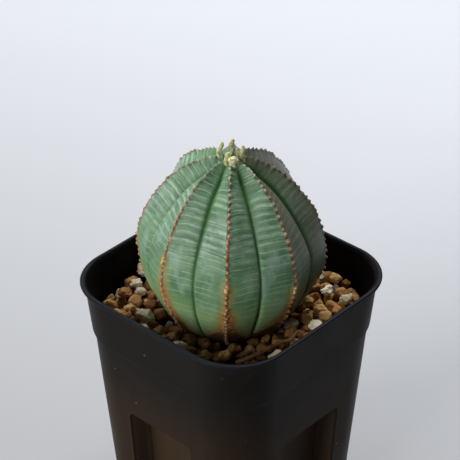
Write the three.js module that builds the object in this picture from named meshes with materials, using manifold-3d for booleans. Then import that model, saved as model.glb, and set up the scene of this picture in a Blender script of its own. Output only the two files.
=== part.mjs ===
// A potted Euphorbia obesa: a small globular succulent in a square black plastic nursery pot.
// Millimetres, +Z up. The origin is the centre of the pot's underside; the pot's sides face X and Y.
import * as THREE from "three";
import { ConvexGeometry } from "three/addons/geometries/ConvexGeometry.js";
import { mergeVertices } from "three/addons/utils/BufferGeometryUtils.js";
import Module from "manifold-3d";

// ---- Driving dimensions ------------------------------------------------------------------------

const GAP = 0.3; // between pieces that touch

const POT_HEIGHT = 90;
const POT_HALF_WIDTH = 37.5; // over the lip
const POT_CORNER_RATIO = 0.466; // corner radius over half width, at every height
const WALL = 1.0;
const FLOOR = 1.6;
const LIP_HEIGHT = 1.1;
const COLLAR_TOP_HALF = 36.3; // just under the lip
const COLLAR_BASE_HALF = 35.0;
const COLLAR_DEPTH = 17; // from the rim to the foot of the collar
const STEP_DEPTH = 19.5; // from the rim to the foot of the sloped step
const BODY_TOP_HALF = 34.15;
const BODY_TAPER = 0.0715; // each side, mm inwards for a mm down
const CORNER_STEPS = 8;

const ALCOVE_HALF_WIDTH = 12.4;
const ALCOVE_TOP = 49;
const ALCOVE_DEPTH = 7.3;
const ALCOVE_CORNER = 2.5;

const DRAIN_SLOT = { length: 9, width: 3.4, fromCentre: 22 };

const SOIL_TOP = 72.9;
const GRAVEL_BOTTOM = 73.3;
const GRAVEL_TOP = 78.2; // mean height of the bed that the loose stones lie on
const GRAVEL_SLOPE = 0.03; // it falls towards the front corner
const FRONT_ANGLE = -47.5; // degrees, the corner of the pot where the bed is lowest

const RIBS = 8;
const RIB_TURN = -4.6; // degrees from +X to the first rib
const RIB_STEPS = 6;
const GROOVE_DEPTH = 2.2;
const STEM_RINGS = 27;
const STEM_LEAN = 1.8; // degrees
const LEAN_ANGLE = -17.6; // degrees, the way it leans
const STEM_FOOT = new THREE.Vector3(-0.9, -0.2, POT_HEIGHT - 15);

// The outline of a rib's crest from the sunken apex down to the tip of the tap root: radius, and
// height above the pot's rim.
const CREST_OUTLINE = [
  [0, 40.8],
  [4, 42.1],
  [8.5, 41.2],
  [15.5, 37.0],
  [21, 31.0],
  [24.9, 24.3],
  [27.2, 17.3],
  [27.7, 10.5],
  [26.3, 3.0],
  [23.5, -3.6],
  [19.8, -9.6],
  [14.5, -15.2],
  [8, -21],
  [4, -28],
  [1.8, -36],
  [0, -38],
];

const STONE_SIZE = [2.0, 2.9]; // half the length of a loose stone
const BROWN_STONES = 27;
const STONE_CLEARANCE = 0.45;
const STONE_CORNERS = 15;
const STEM_RADIUS_AT_STONES = 21.3;

const rad = THREE.MathUtils.degToRad;

// ---- Materials ---------------------------------------------------------------------------------

const finish = (color, roughness) => new THREE.MeshStandardMaterial({ color, roughness, metalness: 0 });
const BLACK_PLASTIC = [0x232123, 0.5];
const SOIL = [0x3d2c1f, 0.95];
const BED = [0x7a5836, 0.95];
const STEM_SKIN = [0x5f8f72, 0.6];
const STALK_SKIN = [0x9aa35a, 0.65];
const DRY_STALK = [0x7b5a3c, 0.85];
const BROWN_GRIT = [0x9a6b3f, 0.9];
const WHITE_GRIT = [0xcfc8bb, 0.85];

// ---- Solids ------------------------------------------------------------------------------------

const wasm = await Module();
wasm.setup();

// A closed geometry as a solid that can be cut and joined.
function solid(geometry) {
  const bare = geometry.clone();
  for (const name of Object.keys(bare.attributes)) if (name !== "position") bare.deleteAttribute(name);
  const merged = mergeVertices(bare, 1e-4);
  const triVerts = new Uint32Array(merged.index.array);
  const vertProperties = new Float32Array(merged.attributes.position.array);
  return new wasm.Manifold(new wasm.Mesh({ numProp: 3, vertProperties, triVerts }));
}

// A solid's surface as a flat-shaded geometry.
function surface(body) {
  const { vertProperties, triVerts } = body.getMesh();
  const indexed = new THREE.BufferGeometry();
  indexed.setAttribute("position", new THREE.BufferAttribute(vertProperties, 3));
  indexed.setIndex(new THREE.BufferAttribute(triVerts, 1));
  const flat = indexed.toNonIndexed();
  flat.computeVertexNormals();
  return flat;
}

// Closed rings of points, joined one to the next and closed at both ends by a point on the axis.
function skin(rings, firstPoint, lastPoint) {
  const count = rings[0].length;
  const positions = [firstPoint, ...rings.flat(), lastPoint].flatMap((p) => [p.x, p.y, p.z]);
  const at = (ring, k) => 1 + ring * count + (k % count);
  const last = 1 + rings.length * count;
  const index = [];
  for (let k = 0; k < count; k++) {
    index.push(0, at(0, k), at(0, k + 1));
    for (let ring = 0; ring + 1 < rings.length; ring++) {
      index.push(at(ring, k), at(ring + 1, k), at(ring + 1, k + 1));
      index.push(at(ring, k), at(ring + 1, k + 1), at(ring, k + 1));
    }
    index.push(last, at(rings.length - 1, k + 1), at(rings.length - 1, k));
  }
  const geometry = new THREE.BufferGeometry();
  geometry.setAttribute("position", new THREE.Float32BufferAttribute(positions, 3));
  geometry.setIndex(index);
  return geometry;
}

// ---- Pot ---------------------------------------------------------------------------------------

const bodyHalf = (z) => BODY_TOP_HALF - BODY_TAPER * (POT_HEIGHT - STEP_DEPTH - z);

// A square with round corners, half wide from centre to side, at height z. inset moves it inwards.
function roundedSquare(half, z, inset = 0) {
  const radius = half * POT_CORNER_RATIO - inset;
  const centre = half - inset - radius;
  const points = [];
  for (let corner = 0; corner < 4; corner++) {
    const middle = Math.PI / 4 + (corner * Math.PI) / 2;
    const x = Math.sign(Math.cos(middle)) * centre;
    const y = Math.sign(Math.sin(middle)) * centre;
    for (let step = 0; step <= CORNER_STEPS; step++) {
      const angle = (corner + step / CORNER_STEPS) * (Math.PI / 2);
      points.push(new THREE.Vector3(x + radius * Math.cos(angle), y + radius * Math.sin(angle), z));
    }
  }
  return points;
}

// A solid through rounded squares given from the top down.
function squareLoft(sections, inset = 0) {
  const rings = sections.map(([half, z]) => roundedSquare(half, z, inset));
  const top = new THREE.Vector3(0, 0, sections[0][1]);
  const bottom = new THREE.Vector3(0, 0, sections.at(-1)[1]);
  return solid(skin(rings, top, bottom));
}

const OUTSIDE = [
  [POT_HALF_WIDTH - 0.35, POT_HEIGHT],
  [POT_HALF_WIDTH - 0.05, POT_HEIGHT - 0.25],
  [POT_HALF_WIDTH, POT_HEIGHT - 0.6],
  [POT_HALF_WIDTH - 0.15, POT_HEIGHT - LIP_HEIGHT],
  [COLLAR_TOP_HALF, POT_HEIGHT - LIP_HEIGHT - 0.2],
  [COLLAR_BASE_HALF, POT_HEIGHT - COLLAR_DEPTH],
  [BODY_TOP_HALF, POT_HEIGHT - STEP_DEPTH],
  [bodyHalf(1), 1],
  [bodyHalf(0) - 0.7, 0],
];

// The inner wall, as the outside line that it is WALL inside of. It rolls out to the lip at the top.
const INSIDE = [
  [POT_HALF_WIDTH + 0.15, POT_HEIGHT + 1],
  [POT_HALF_WIDTH + 0.05, POT_HEIGHT],
  [COLLAR_TOP_HALF + 0.5, POT_HEIGHT - 0.4],
  [COLLAR_TOP_HALF + 0.1, POT_HEIGHT - LIP_HEIGHT],
  [COLLAR_BASE_HALF, POT_HEIGHT - COLLAR_DEPTH],
  [BODY_TOP_HALF, POT_HEIGHT - STEP_DEPTH],
  [bodyHalf(FLOOR), FLOOR],
];

// The recess low in the side that faces turn degrees from +X, grown by grow on its walls and top.
function alcove(turn, grow) {
  const half = ALCOVE_HALF_WIDTH + grow;
  const top = ALCOVE_TOP + grow;
  const corner = ALCOVE_CORNER + grow;
  const outline = new THREE.Shape();
  outline.moveTo(-half, -10);
  outline.lineTo(half, -10);
  outline.lineTo(half, top - corner);
  outline.absarc(half - corner, top - corner, corner, 0, Math.PI / 2);
  outline.absarc(corner - half, top - corner, corner, Math.PI / 2, Math.PI);
  outline.closePath();
  const options = { depth: ALCOVE_DEPTH + grow + 6, bevelEnabled: false, curveSegments: 4 };
  const geometry = new THREE.ExtrudeGeometry(outline, options);
  geometry.translate(0, 0, -ALCOVE_DEPTH - grow);
  const tilt = Math.atan(BODY_TAPER);
  geometry.rotateX(Math.PI / 2 + tilt);
  geometry.rotateZ(Math.PI / 2);
  geometry.translate(bodyHalf(0), 0, 0);
  geometry.rotateZ(rad(turn));
  return solid(geometry);
}

const SIDES = [0, 90, 180, 270];
const cutAlcoves = (body, grow) => SIDES.reduce((rest, turn) => rest.subtract(alcove(turn, grow)), body);

// What fits inside the pot, gap clear of its walls and floor.
const cavity = (gap) => cutAlcoves(squareLoft(INSIDE, WALL + gap), WALL + gap);

// A slot through the floor, on the diagonal turn degrees from +X.
function drainSlot(turn) {
  const { length, width, fromCentre } = DRAIN_SLOT;
  const straight = (length - width) / 2;
  const outline = new THREE.Shape();
  outline.absarc(0, straight, width / 2, 0, Math.PI);
  outline.absarc(0, -straight, width / 2, Math.PI, 2 * Math.PI);
  outline.closePath();
  const options = { depth: FLOOR + 4, bevelEnabled: false, curveSegments: 5 };
  const geometry = new THREE.ExtrudeGeometry(outline, options);
  geometry.translate(fromCentre, 0, -2);
  geometry.rotateZ(rad(turn));
  return solid(geometry);
}

function potSolid() {
  const shell = cutAlcoves(squareLoft(OUTSIDE), 0).subtract(cavity(0));
  return SIDES.reduce((rest, turn) => rest.subtract(drainSlot(turn + 45)), shell);
}

// ---- Stem --------------------------------------------------------------------------------------

// How deep the grooves are along the outline, u from 0 at the apex to 1 at the root's tip.
const fadeIn = (u, from, to) => THREE.MathUtils.smoothstep(u, from, to);
const grooveDepth = (u) =>
  GROOVE_DEPTH * fadeIn(u, 0, 0.1) * (1 - 0.25 * fadeIn(u, 0.25, 0.45) - 0.65 * fadeIn(u, 0.5, 0.75));

// The stem's surface grown outwards by grow, as a geometry in the pot's frame.
function stemGeometry(grow = 0) {
  const outline = new THREE.SplineCurve(CREST_OUTLINE.map(([r, z]) => new THREE.Vector2(r, z)));
  const halfRib = Math.PI / RIBS;
  const columns = RIBS * RIB_STEPS;
  const rings = [];
  for (let ring = 1; ring < STEM_RINGS; ring++) {
    const u = ring / STEM_RINGS;
    const crest = outline.getPointAt(u);
    const along = outline.getTangentAt(u);
    const outwards = new THREE.Vector2(-along.y, along.x);
    const points = [];
    for (let column = 0; column < columns; column++) {
      const ribPart = (column % RIB_STEPS) / RIB_STEPS;
      const fromCrest = 1 - Math.abs(1 - 2 * ribPart); // 0 on the crest, 1 in the groove
      const inset = grooveDepth(u) * fromCrest - grow;
      const radius = Math.max(crest.x - outwards.x * inset, 0.05);
      const height = crest.y - outwards.y * inset;
      const angle = rad(RIB_TURN) + (column / RIB_STEPS) * 2 * halfRib;
      points.push(new THREE.Vector3(radius * Math.cos(angle), radius * Math.sin(angle), height));
    }
    rings.push(points);
  }
  const apex = new THREE.Vector3(0, 0, CREST_OUTLINE[0][1] + grow);
  const rootTip = new THREE.Vector3(0, 0, CREST_OUTLINE.at(-1)[1] - grow);
  const geometry = skin(rings, apex, rootTip);
  return geometry.applyMatrix4(leaned());
}

// The turn that leans the stem about its foot, from heights above the rim into the pot's frame.
function leaned() {
  const leanAxis = new THREE.Vector3(-Math.sin(rad(LEAN_ANGLE)), Math.cos(rad(LEAN_ANGLE)), 0);
  const turn = new THREE.Matrix4().makeRotationAxis(leanAxis, rad(STEM_LEAN));
  const place = new THREE.Matrix4().makeTranslation(STEM_FOOT);
  const drop = new THREE.Matrix4().makeTranslation(0, 0, POT_HEIGHT - STEM_FOOT.z);
  return place.multiply(turn).multiply(drop);
}

// ---- Flower stalks -----------------------------------------------------------------------------

// Each stalk's foot beside the apex (angle and radius), its length above the skin, how far it tips
// over in degrees, and how thick it is as a share of an ordinary one.
const FLOWER_STALKS = [
  { angle: 214, radius: 3.9, length: 5.6, tip: 14, girth: 1.05 },
  { angle: 282, radius: 3.1, length: 4.1, tip: 12, girth: 1.25 },
  { angle: 135, radius: 2.5, length: 5.6, tip: 5, girth: 1.1 },
  { angle: 314, radius: 4.1, length: 3.5, tip: 19, girth: 1.4 },
  { angle: 69, radius: 1.7, length: 3.4, tip: 3, girth: 0.75 },
  { angle: 22, radius: 3.6, length: 5.7, tip: -1, girth: 1.1 },
];
const STALK_ROOT = 2.5; // length that starts inside the stem and is cut off by it
const STALK_FOOT = 41.6; // above the rim
const TIPPED_TOWARDS = 42; // degrees, the way they all tip over
const NECK_RADIUS = 0.46;
const KNUCKLE_RADIUS = 0.6;
const BUD_RADIUS = 0.74;
const BUD_LENGTH = 1.4;
const KNUCKLES = 4;

// A stalk with bract rings and a bud at the tip.
function stalkGeometry({ angle, radius, length, tip, girth }) {
  const outline = [[0, -STALK_ROOT]];
  for (let k = 0; k <= KNUCKLES * 2; k++) {
    const height = -STALK_ROOT + 0.2 + ((length + STALK_ROOT - BUD_LENGTH) * k) / (KNUCKLES * 2);
    outline.push([k % 2 ? NECK_RADIUS : KNUCKLE_RADIUS, height]);
  }
  outline.push([BUD_RADIUS, length - BUD_LENGTH / 2], [BUD_RADIUS * 0.7, length - 0.15], [0, length]);
  const points = outline.map(([r, z]) => new THREE.Vector2(r * girth, z));
  const geometry = new THREE.LatheGeometry(points, 8);
  geometry.rotateX(Math.PI / 2);
  geometry.rotateY(rad(tip));
  geometry.rotateZ(rad(TIPPED_TOWARDS));
  geometry.translate(radius * Math.cos(rad(angle)), radius * Math.sin(rad(angle)), STALK_FOOT);
  return geometry.applyMatrix4(leaned());
}

// ---- Soil and gravel bed -----------------------------------------------------------------------

// The bed's top at a place, between soft bumps.
function bedHeight(x, y) {
  const towardsFront = x * Math.cos(rad(FRONT_ANGLE)) + y * Math.sin(rad(FRONT_ANGLE));
  const bumps = 0.25 * Math.sin(x * 0.9 + 1) * Math.cos(y * 0.8) + 0.15 * Math.sin(x * 0.4 - y * 0.5);
  return GRAVEL_TOP - GRAVEL_SLOPE * towardsFront + bumps;
}

// A block wider than the pot, from a height function down to bottom, with a top of cells x cells.
function blockUnder(height, bottom, cells) {
  const side = 2 * POT_HALF_WIDTH + 15;
  const sheet = new THREE.BoxGeometry(side, side, 1, cells, cells, 1);
  const place = sheet.attributes.position;
  for (let i = 0; i < place.count; i++) {
    const top = place.getZ(i) > 0;
    place.setZ(i, top ? height(place.getX(i), place.getY(i)) : bottom);
  }
  return solid(sheet);
}

// ---- Loose stones ------------------------------------------------------------------------------

// A repeatable stream of numbers from 0 to 1.
function randomStream(seed) {
  let state = seed;
  return () => {
    state = (state + 0x6d2b79f5) | 0;
    let mixed = Math.imul(state ^ (state >>> 15), 1 | state);
    mixed = (mixed + Math.imul(mixed ^ (mixed >>> 7), 61 | mixed)) ^ mixed;
    return ((mixed ^ (mixed >>> 14)) >>> 0) / 4294967296;
  };
}

const random = randomStream(20);
const between = (low, high) => low + (high - low) * random();

// An angular stone: the hull of points scattered near an ellipsoid.
function stoneGeometry(halfLength) {
  const half = new THREE.Vector3(halfLength, halfLength * between(0.72, 0.9), halfLength * between(0.6, 0.8));
  const points = [];
  for (let k = 0; k < STONE_CORNERS; k++) {
    const height = 1 - (2 * (k + 0.5)) / STONE_CORNERS;
    const angle = k * 2.4 + between(-0.35, 0.35);
    const flat = Math.sqrt(1 - height * height);
    const direction = new THREE.Vector3(flat * Math.cos(angle), flat * Math.sin(angle), height);
    points.push(direction.multiplyScalar(between(0.86, 1.05)).multiply(half));
  }
  const geometry = new ConvexGeometry(points);
  geometry.rotateX(between(-0.4, 0.4));
  geometry.rotateZ(between(0, 2 * Math.PI));
  return geometry;
}

// Whether a stone that reaches reach from (x, y) clears the wall and the stem.
function fitsInPot(x, y, reach) {
  const half = COLLAR_BASE_HALF - WALL - STONE_CLEARANCE - reach;
  const corner = Math.max(COLLAR_BASE_HALF * POT_CORNER_RATIO - WALL - reach, 0);
  const past = Math.hypot(Math.max(Math.abs(x) - half + corner, 0), Math.max(Math.abs(y) - half + corner, 0));
  const fromStem = Math.hypot(x - STEM_FOOT.x, y - STEM_FOOT.y);
  return past <= corner && fromStem >= STEM_RADIUS_AT_STONES + reach;
}

// The withered stalk's line over the bed, as places with a height above the bed.
const DRY_STALK_LINE = [
  [21.5, -19.5, 0.9],
  [22.6, -14, 0.9],
  [23.4, -9.2, 0.9],
  [24.0, -4.2, 1.0],
  [25.3, -1.0, 1.3],
  [25.2, 2.4, 2.0],
];
const DRY_STALK_RADIUS = 0.5;
const dryStalkCurve = new THREE.CatmullRomCurve3(
  DRY_STALK_LINE.map(([x, y, rise]) => new THREE.Vector3(x, y, bedHeight(x, y) + rise)),
);

function dryStalkGeometry() {
  const outline = new THREE.Shape();
  outline.absarc(0, 0, DRY_STALK_RADIUS, 0, 2 * Math.PI);
  const options = { extrudePath: dryStalkCurve, steps: 16, curveSegments: 3, bevelEnabled: false };
  return new THREE.ExtrudeGeometry(outline, options);
}

// The off-white stones lie here; the brown ones fill in around them.
const WHITE_PLACES = [
  [-31, -7],
  [-28, -13],
  [-14, -22.5],
  [-10, -28],
  [3, -27],
  [26, -24],
  [28.5, -12],
  [27, 8],
  [18, 24],
  [25, 24],
  [-26, 22],
];

const placed = [];

// Drops a stone at (x, y) if it clears the stones already there.
function dropStone(x, y) {
  const halfLength = between(...STONE_SIZE);
  const geometry = stoneGeometry(halfLength);
  const reach = flatReach(geometry);
  const stalkReach = reach + DRY_STALK_RADIUS + 0.4;
  const stalkClear = dryStalkCurve.getPoints(40).every((p) => Math.hypot(p.x - x, p.y - y) > stalkReach);
  const stonesClear = placed.every((s) => Math.hypot(s.x - x, s.y - y) > s.reach + reach + GAP);
  if (!stalkClear || !stonesClear || !fitsInPot(x, y, reach)) return null;
  geometry.computeBoundingBox();
  let floorHeight = 0;
  for (let angle = 0; angle < 2 * Math.PI; angle += 0.4)
    for (const part of [0, 0.5, 1]) {
      const [dx, dy] = [part * reach * Math.cos(angle), part * reach * Math.sin(angle)];
      floorHeight = Math.max(floorHeight, bedHeight(x + dx, y + dy));
    }
  geometry.translate(x, y, floorHeight + GAP - geometry.boundingBox.min.z);
  placed.push({ x, y, reach });
  return geometry;
}

// How far a geometry reaches sideways from its own upright axis.
function flatReach(geometry) {
  const place = geometry.attributes.position;
  let reach = 0;
  for (let i = 0; i < place.count; i++) reach = Math.max(reach, Math.hypot(place.getX(i), place.getY(i)));
  return reach;
}

// ---- Assembly ----------------------------------------------------------------------------------

const plant = new THREE.Group();

function add(name, geometry, [color, roughness]) {
  const mesh = new THREE.Mesh(geometry, finish(color, roughness));
  mesh.name = name;
  plant.add(mesh);
}

const stemSocket = solid(stemGeometry(GAP));
const interior = cavity(GAP).subtract(stemSocket);

add("pot", surface(potSolid()), BLACK_PLASTIC);
add("potting_soil", surface(interior.intersect(blockUnder(() => SOIL_TOP, FLOOR + GAP, 1))), SOIL);
add("gravel_bed", surface(interior.intersect(blockUnder(bedHeight, GRAVEL_BOTTOM, 20))), BED);
add("stem", stemGeometry(), STEM_SKIN);
FLOWER_STALKS.forEach((stalk, k) => {
  const cut = solid(stalkGeometry(stalk)).subtract(stemSocket);
  add(`flower_stalk_${k + 1}`, surface(cut), STALK_SKIN);
});
add("dry_stalk", dryStalkGeometry(), DRY_STALK);

WHITE_PLACES.forEach(([x, y], k) => {
  const stone = dropStone(x, y);
  if (stone) add(`white_stone_${k + 1}`, stone, WHITE_GRIT);
});
for (let k = 1, tries = 0; k <= BROWN_STONES && tries < 4000; tries++) {
  const stone = dropStone(between(-34, 34), between(-34, 34));
  if (stone) add(`brown_stone_${k++}`, stone, BROWN_GRIT);
}

export default plant;
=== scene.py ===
"""The looks of a potted Euphorbia obesa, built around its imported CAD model.

Everything is written in millimetres and turned into metres when a mesh or a node value is made.
Angles are in degrees, or in radians where that is said. The pot's underside is at z 0, and its sides face X and Y.
"""

import math

import bmesh
import bpy
import numpy as np
from mathutils import Matrix, Vector


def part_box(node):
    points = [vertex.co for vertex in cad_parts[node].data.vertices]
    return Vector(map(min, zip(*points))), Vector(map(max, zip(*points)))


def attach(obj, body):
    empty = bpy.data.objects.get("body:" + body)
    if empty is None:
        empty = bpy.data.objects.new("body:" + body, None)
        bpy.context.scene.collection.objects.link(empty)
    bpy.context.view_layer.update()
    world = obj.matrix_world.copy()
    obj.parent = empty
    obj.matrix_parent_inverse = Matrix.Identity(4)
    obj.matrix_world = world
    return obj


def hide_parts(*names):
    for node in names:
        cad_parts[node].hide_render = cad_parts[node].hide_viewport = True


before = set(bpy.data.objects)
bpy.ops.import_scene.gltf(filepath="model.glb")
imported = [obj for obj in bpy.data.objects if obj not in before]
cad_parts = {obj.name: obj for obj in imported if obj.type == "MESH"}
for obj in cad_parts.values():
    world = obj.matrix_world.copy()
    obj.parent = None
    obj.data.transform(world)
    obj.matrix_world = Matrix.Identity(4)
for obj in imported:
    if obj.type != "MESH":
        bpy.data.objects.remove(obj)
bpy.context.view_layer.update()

MM = 0.001
ROOT = "root"


def node_box(name):
    """A CAD node's lowest and highest corners, in mm."""
    low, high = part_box(name)
    return np.array(low) / MM, np.array(high) / MM


POT_LOW, POT_HIGH = node_box("pot")
RIM = POT_HIGH[2]
POT_HALF = POT_HIGH[0]
SOIL_TOP = node_box("potting_soil")[1][2]
NODES = sorted(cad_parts)


def put(name, data):
    """A new object in the scene."""
    made = bpy.data.objects.new(name, data)
    bpy.context.scene.collection.objects.link(made)
    return made


def put_mesh(name, points, faces, smooth=True):
    """A new mesh object from points in mm."""
    mesh = bpy.data.meshes.new(name)
    mesh.from_pydata((np.asarray(points) * MM).tolist(), [], faces)
    mesh.polygons.foreach_set("use_smooth", [smooth] * len(faces))
    return put(name, mesh)


# ---- Camera, floor and light ----

VIEW_AZIMUTH = 42.475
VIEW_ELEVATION = 33.515
VIEW_ROLL = -0.232
VIEW_DISTANCE = 579.4  # from the middle of the rim
VIEW_ACROSS = -0.42  # how far the camera stands to the side of the rim's middle
VIEW_UP = 13.52  # and how far above it
LENS, SENSOR = 100.0, 24.0

# Half the floor's length, half its width, its sweep's radius and its back's height.
SHEET_REACH, SHEET_HALF, SHEET_CURL, SHEET_BACK = 2200, 3000, 900, 3000

# Each light's azimuth from the view's, elevation, distance and size in metres, power and colour.
LIGHTS = {
    "window": (-50, 15, 1.3, 1.0, 16.5, (1.0, 0.995, 0.98)),
    "side": (-125, 22, 1.1, 0.9, 3.6, (0.97, 0.99, 1.0)),
    "ceiling": (165, 60, 1.1, 0.9, 17.0, (0.98, 0.99, 1.0)),
}
LIGHT_AIM = Vector((0, 0, 0.1))  # where every light looks, in metres


def direction(azimuth, elevation):
    """The way from the object towards a place round it."""
    a, e = math.radians(azimuth), math.radians(elevation)
    return Vector((math.sin(a) * math.cos(e), -math.cos(a) * math.cos(e), math.sin(e)))


def add_camera():
    """A long lens at the front corner, looking down at the rim."""
    a, roll = math.radians(VIEW_AZIMUTH), math.radians(VIEW_ROLL)
    back = direction(VIEW_AZIMUTH, VIEW_ELEVATION)
    across = Vector((math.cos(a), math.sin(a), 0))
    up = back.cross(across)
    side = math.cos(roll) * across + math.sin(roll) * up
    top = math.cos(roll) * up - math.sin(roll) * across
    place = Vector((0, 0, RIM)) + back * VIEW_DISTANCE + side * VIEW_ACROSS + top * VIEW_UP
    data = bpy.data.cameras.new("camera")
    data.lens, data.sensor_width = LENS, SENSOR
    data.clip_start, data.clip_end = 0.01, 50
    camera = put("camera", data)
    turn = Matrix((side, top, back)).transposed().to_4x4()
    camera.matrix_world = Matrix.Translation(place * MM) @ turn
    bpy.context.scene.camera = camera


def add_light(name, azimuth, elevation, distance, size, power, colour):
    """A square soft light that stands round the object, at an azimuth from the view's."""
    data = bpy.data.lights.new(name, "AREA")
    data.shape, data.size, data.energy, data.color = "SQUARE", size, power, colour
    light = put(name, data)
    back = direction(VIEW_AZIMUTH + azimuth, elevation)
    light.location = LIGHT_AIM + back * distance
    light.rotation_mode = "QUATERNION"
    light.rotation_quaternion = back.to_track_quat("Z", "Y")


def add_air():
    """A little bluish light from all round."""
    world = bpy.data.worlds.new("air")
    world.use_nodes = True
    background = world.node_tree.nodes["Background"]
    background.inputs["Color"].default_value = (0.86, 0.92, 1.0, 1)
    background.inputs["Strength"].default_value = 0.03
    bpy.context.scene.world = world


def add_floor():
    """A pale sheet, level under the pot and swept up far behind it."""
    bend = SHEET_REACH - SHEET_CURL
    line = [(-SHEET_REACH, 0.0), (bend, 0.0)]
    for t in np.linspace(0.1, 1.5, 15):
        line.append((bend + SHEET_CURL * math.sin(t), SHEET_CURL - SHEET_CURL * math.cos(t)))
    line.append((SHEET_REACH, SHEET_BACK))
    points = [(x, y, z) for y, z in line for x in (-SHEET_HALF, SHEET_HALF)]
    faces = [[k, k + 1, k + 3, k + 2] for k in range(0, len(points) - 2, 2)]
    floor = put_mesh("floor", points, faces)
    floor.data.materials.append(floor_material())
    floor.rotation_euler.z = math.radians(VIEW_AZIMUTH)


def add_stage():
    """The floor, a soft window from the left, two weaker lights and pale air all round."""
    bpy.context.scene.view_settings.view_transform = "Standard"
    add_air()
    add_floor()
    for name, light in LIGHTS.items():
        add_light(name, *light)


# ---- Material nodes ----


class Shader:
    """One material's node tree, written as calls. Sockets and plain values can both be inputs."""

    def __init__(self, name, **surface):
        self.material = bpy.data.materials.new(name)
        self.material.use_nodes = True
        self.tree = self.material.node_tree
        self.surface = self.tree.nodes["Principled BSDF"]
        for socket, value in surface.items():
            self.set(self.surface.inputs[socket.replace("_", " ")], value)

    def set(self, socket, value):
        """Links a socket to an input, or gives it a plain value."""
        if isinstance(value, bpy.types.NodeSocket):
            self.tree.links.new(value, socket)
        elif hasattr(socket.default_value, "__len__"):
            socket.default_value = tuple(value) + (1,) * (len(socket.default_value) - len(value))
        else:
            socket.default_value = value

    def node(self, kind, inputs=(), **settings):
        made = self.tree.nodes.new(kind)
        for key, value in settings.items():
            setattr(made, key, value)
        for key, value in dict(inputs).items():
            self.set(made.inputs[key], value)
        return made

    def read(self, name):
        """A number stored on the mesh."""
        return self.node("ShaderNodeAttribute", attribute_name=name).outputs["Fac"]

    def place(self):
        """The point on the piece, in metres."""
        return self.node("ShaderNodeTexCoord").outputs["Object"]

    def axis(self, letter):
        """One coordinate of the point on the piece, in metres."""
        return self.node("ShaderNodeSeparateXYZ", {"Vector": self.place()}).outputs[letter]

    def math(self, operation, a, b=0.0):
        return self.node("ShaderNodeMath", {0: a, 1: b}, operation=operation).outputs[0]

    def add(self, a, b):
        return self.math("ADD", a, b)

    def times(self, a, b):
        return self.math("MULTIPLY", a, b)

    def inverse(self, share):
        """1 less a share."""
        return self.math("SUBTRACT", 1.0, share)

    def stretched(self, scale, rotation=(0, 0, 0)):
        """The point on the piece, scaled along each axis so that a pattern read there is drawn out."""
        values = {"Vector": self.place(), "Scale": scale, "Rotation": rotation}
        return self.node("ShaderNodeMapping", values).outputs[0]

    def ramp(self, value, low, high, to_low=0.0, to_high=1.0):
        """value from low..high to to_low..to_high, eased and held at the ends."""
        ends = {"From Min": low, "From Max": high, "To Min": to_low, "To Max": to_high}
        made = self.node("ShaderNodeMapRange", {"Value": value, **ends}, interpolation_type="SMOOTHSTEP")
        return made.outputs["Result"]

    def mix(self, share, a, b):
        """Colour a, turned into colour b by share. The node's sockets 6, 7 and 2 are its colours."""
        return self.node("ShaderNodeMix", {0: share, 6: a, 7: b}, data_type="RGBA").outputs[2]

    def noise(self, size, detail=3.0, roughness=0.55, vector=None):
        """Soft noise whose spots are about size mm across."""
        values = {"Scale": 1 / (size * MM), "Detail": detail, "Roughness": roughness}
        values["Vector"] = vector or self.place()
        return self.node("ShaderNodeTexNoise", values).outputs["Fac"]

    def jitter(self, size, reach, detail=3.0):
        """The same noise round 0, from about half of reach below to half above."""
        return self.times(self.add(self.noise(size, detail), -0.5), reach)

    def cells(self, size, feature="F1", vector=None):
        """Distance in a cell pattern whose cells are about size mm across."""
        values = {"Scale": 1 / (size * MM), "Vector": vector or self.place()}
        return self.node("ShaderNodeTexVoronoi", values, feature=feature).outputs["Distance"]

    def lines(self, value, often, shift):
        """Distance from uneven lines across a value, about often of them in each step of 1."""
        position = self.add(self.times(value, often), shift)
        values = {"W": position, "Scale": 1.0, "Randomness": 0.85}
        kind = {"voronoi_dimensions": "1D", "feature": "DISTANCE_TO_EDGE"}
        return self.node("ShaderNodeTexVoronoi", values, **kind).outputs["Distance"]

    def bump(self, height, depth, strength=1.0, normal=None):
        """A relief of depth mm where height goes from 0 to 1."""
        values = {"Height": height, "Distance": depth * MM, "Strength": strength}
        if normal is not None:
            values["Normal"] = normal
        return self.node("ShaderNodeBump", values).outputs["Normal"]

    def finish(self, colour, roughness, normal=None):
        self.set(self.surface.inputs["Base Color"], colour)
        self.set(self.surface.inputs["Roughness"], roughness)
        if normal is not None:
            self.set(self.surface.inputs["Normal"], normal)
        return self.material


def floor_material():
    """Matt pale board with a faint tooth, and painted light that makes it brighter towards its far side."""
    s = Shader("pale_board", Specular_IOR_Level=0.2)
    # Painted light: the board's colour grows paler away from the camera and to its right, standing in for the
    # lamps' fall-off.
    away = s.add(s.axis("Y"), s.times(s.axis("X"), 0.6))
    colour = s.mix(s.ramp(away, -0.15, 0.45), (0.372, 0.376, 0.386), (0.605, 0.62, 0.66))
    return s.finish(colour, 0.85, s.bump(s.noise(1.5, detail=4), 0.05, 0.3))


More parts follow.
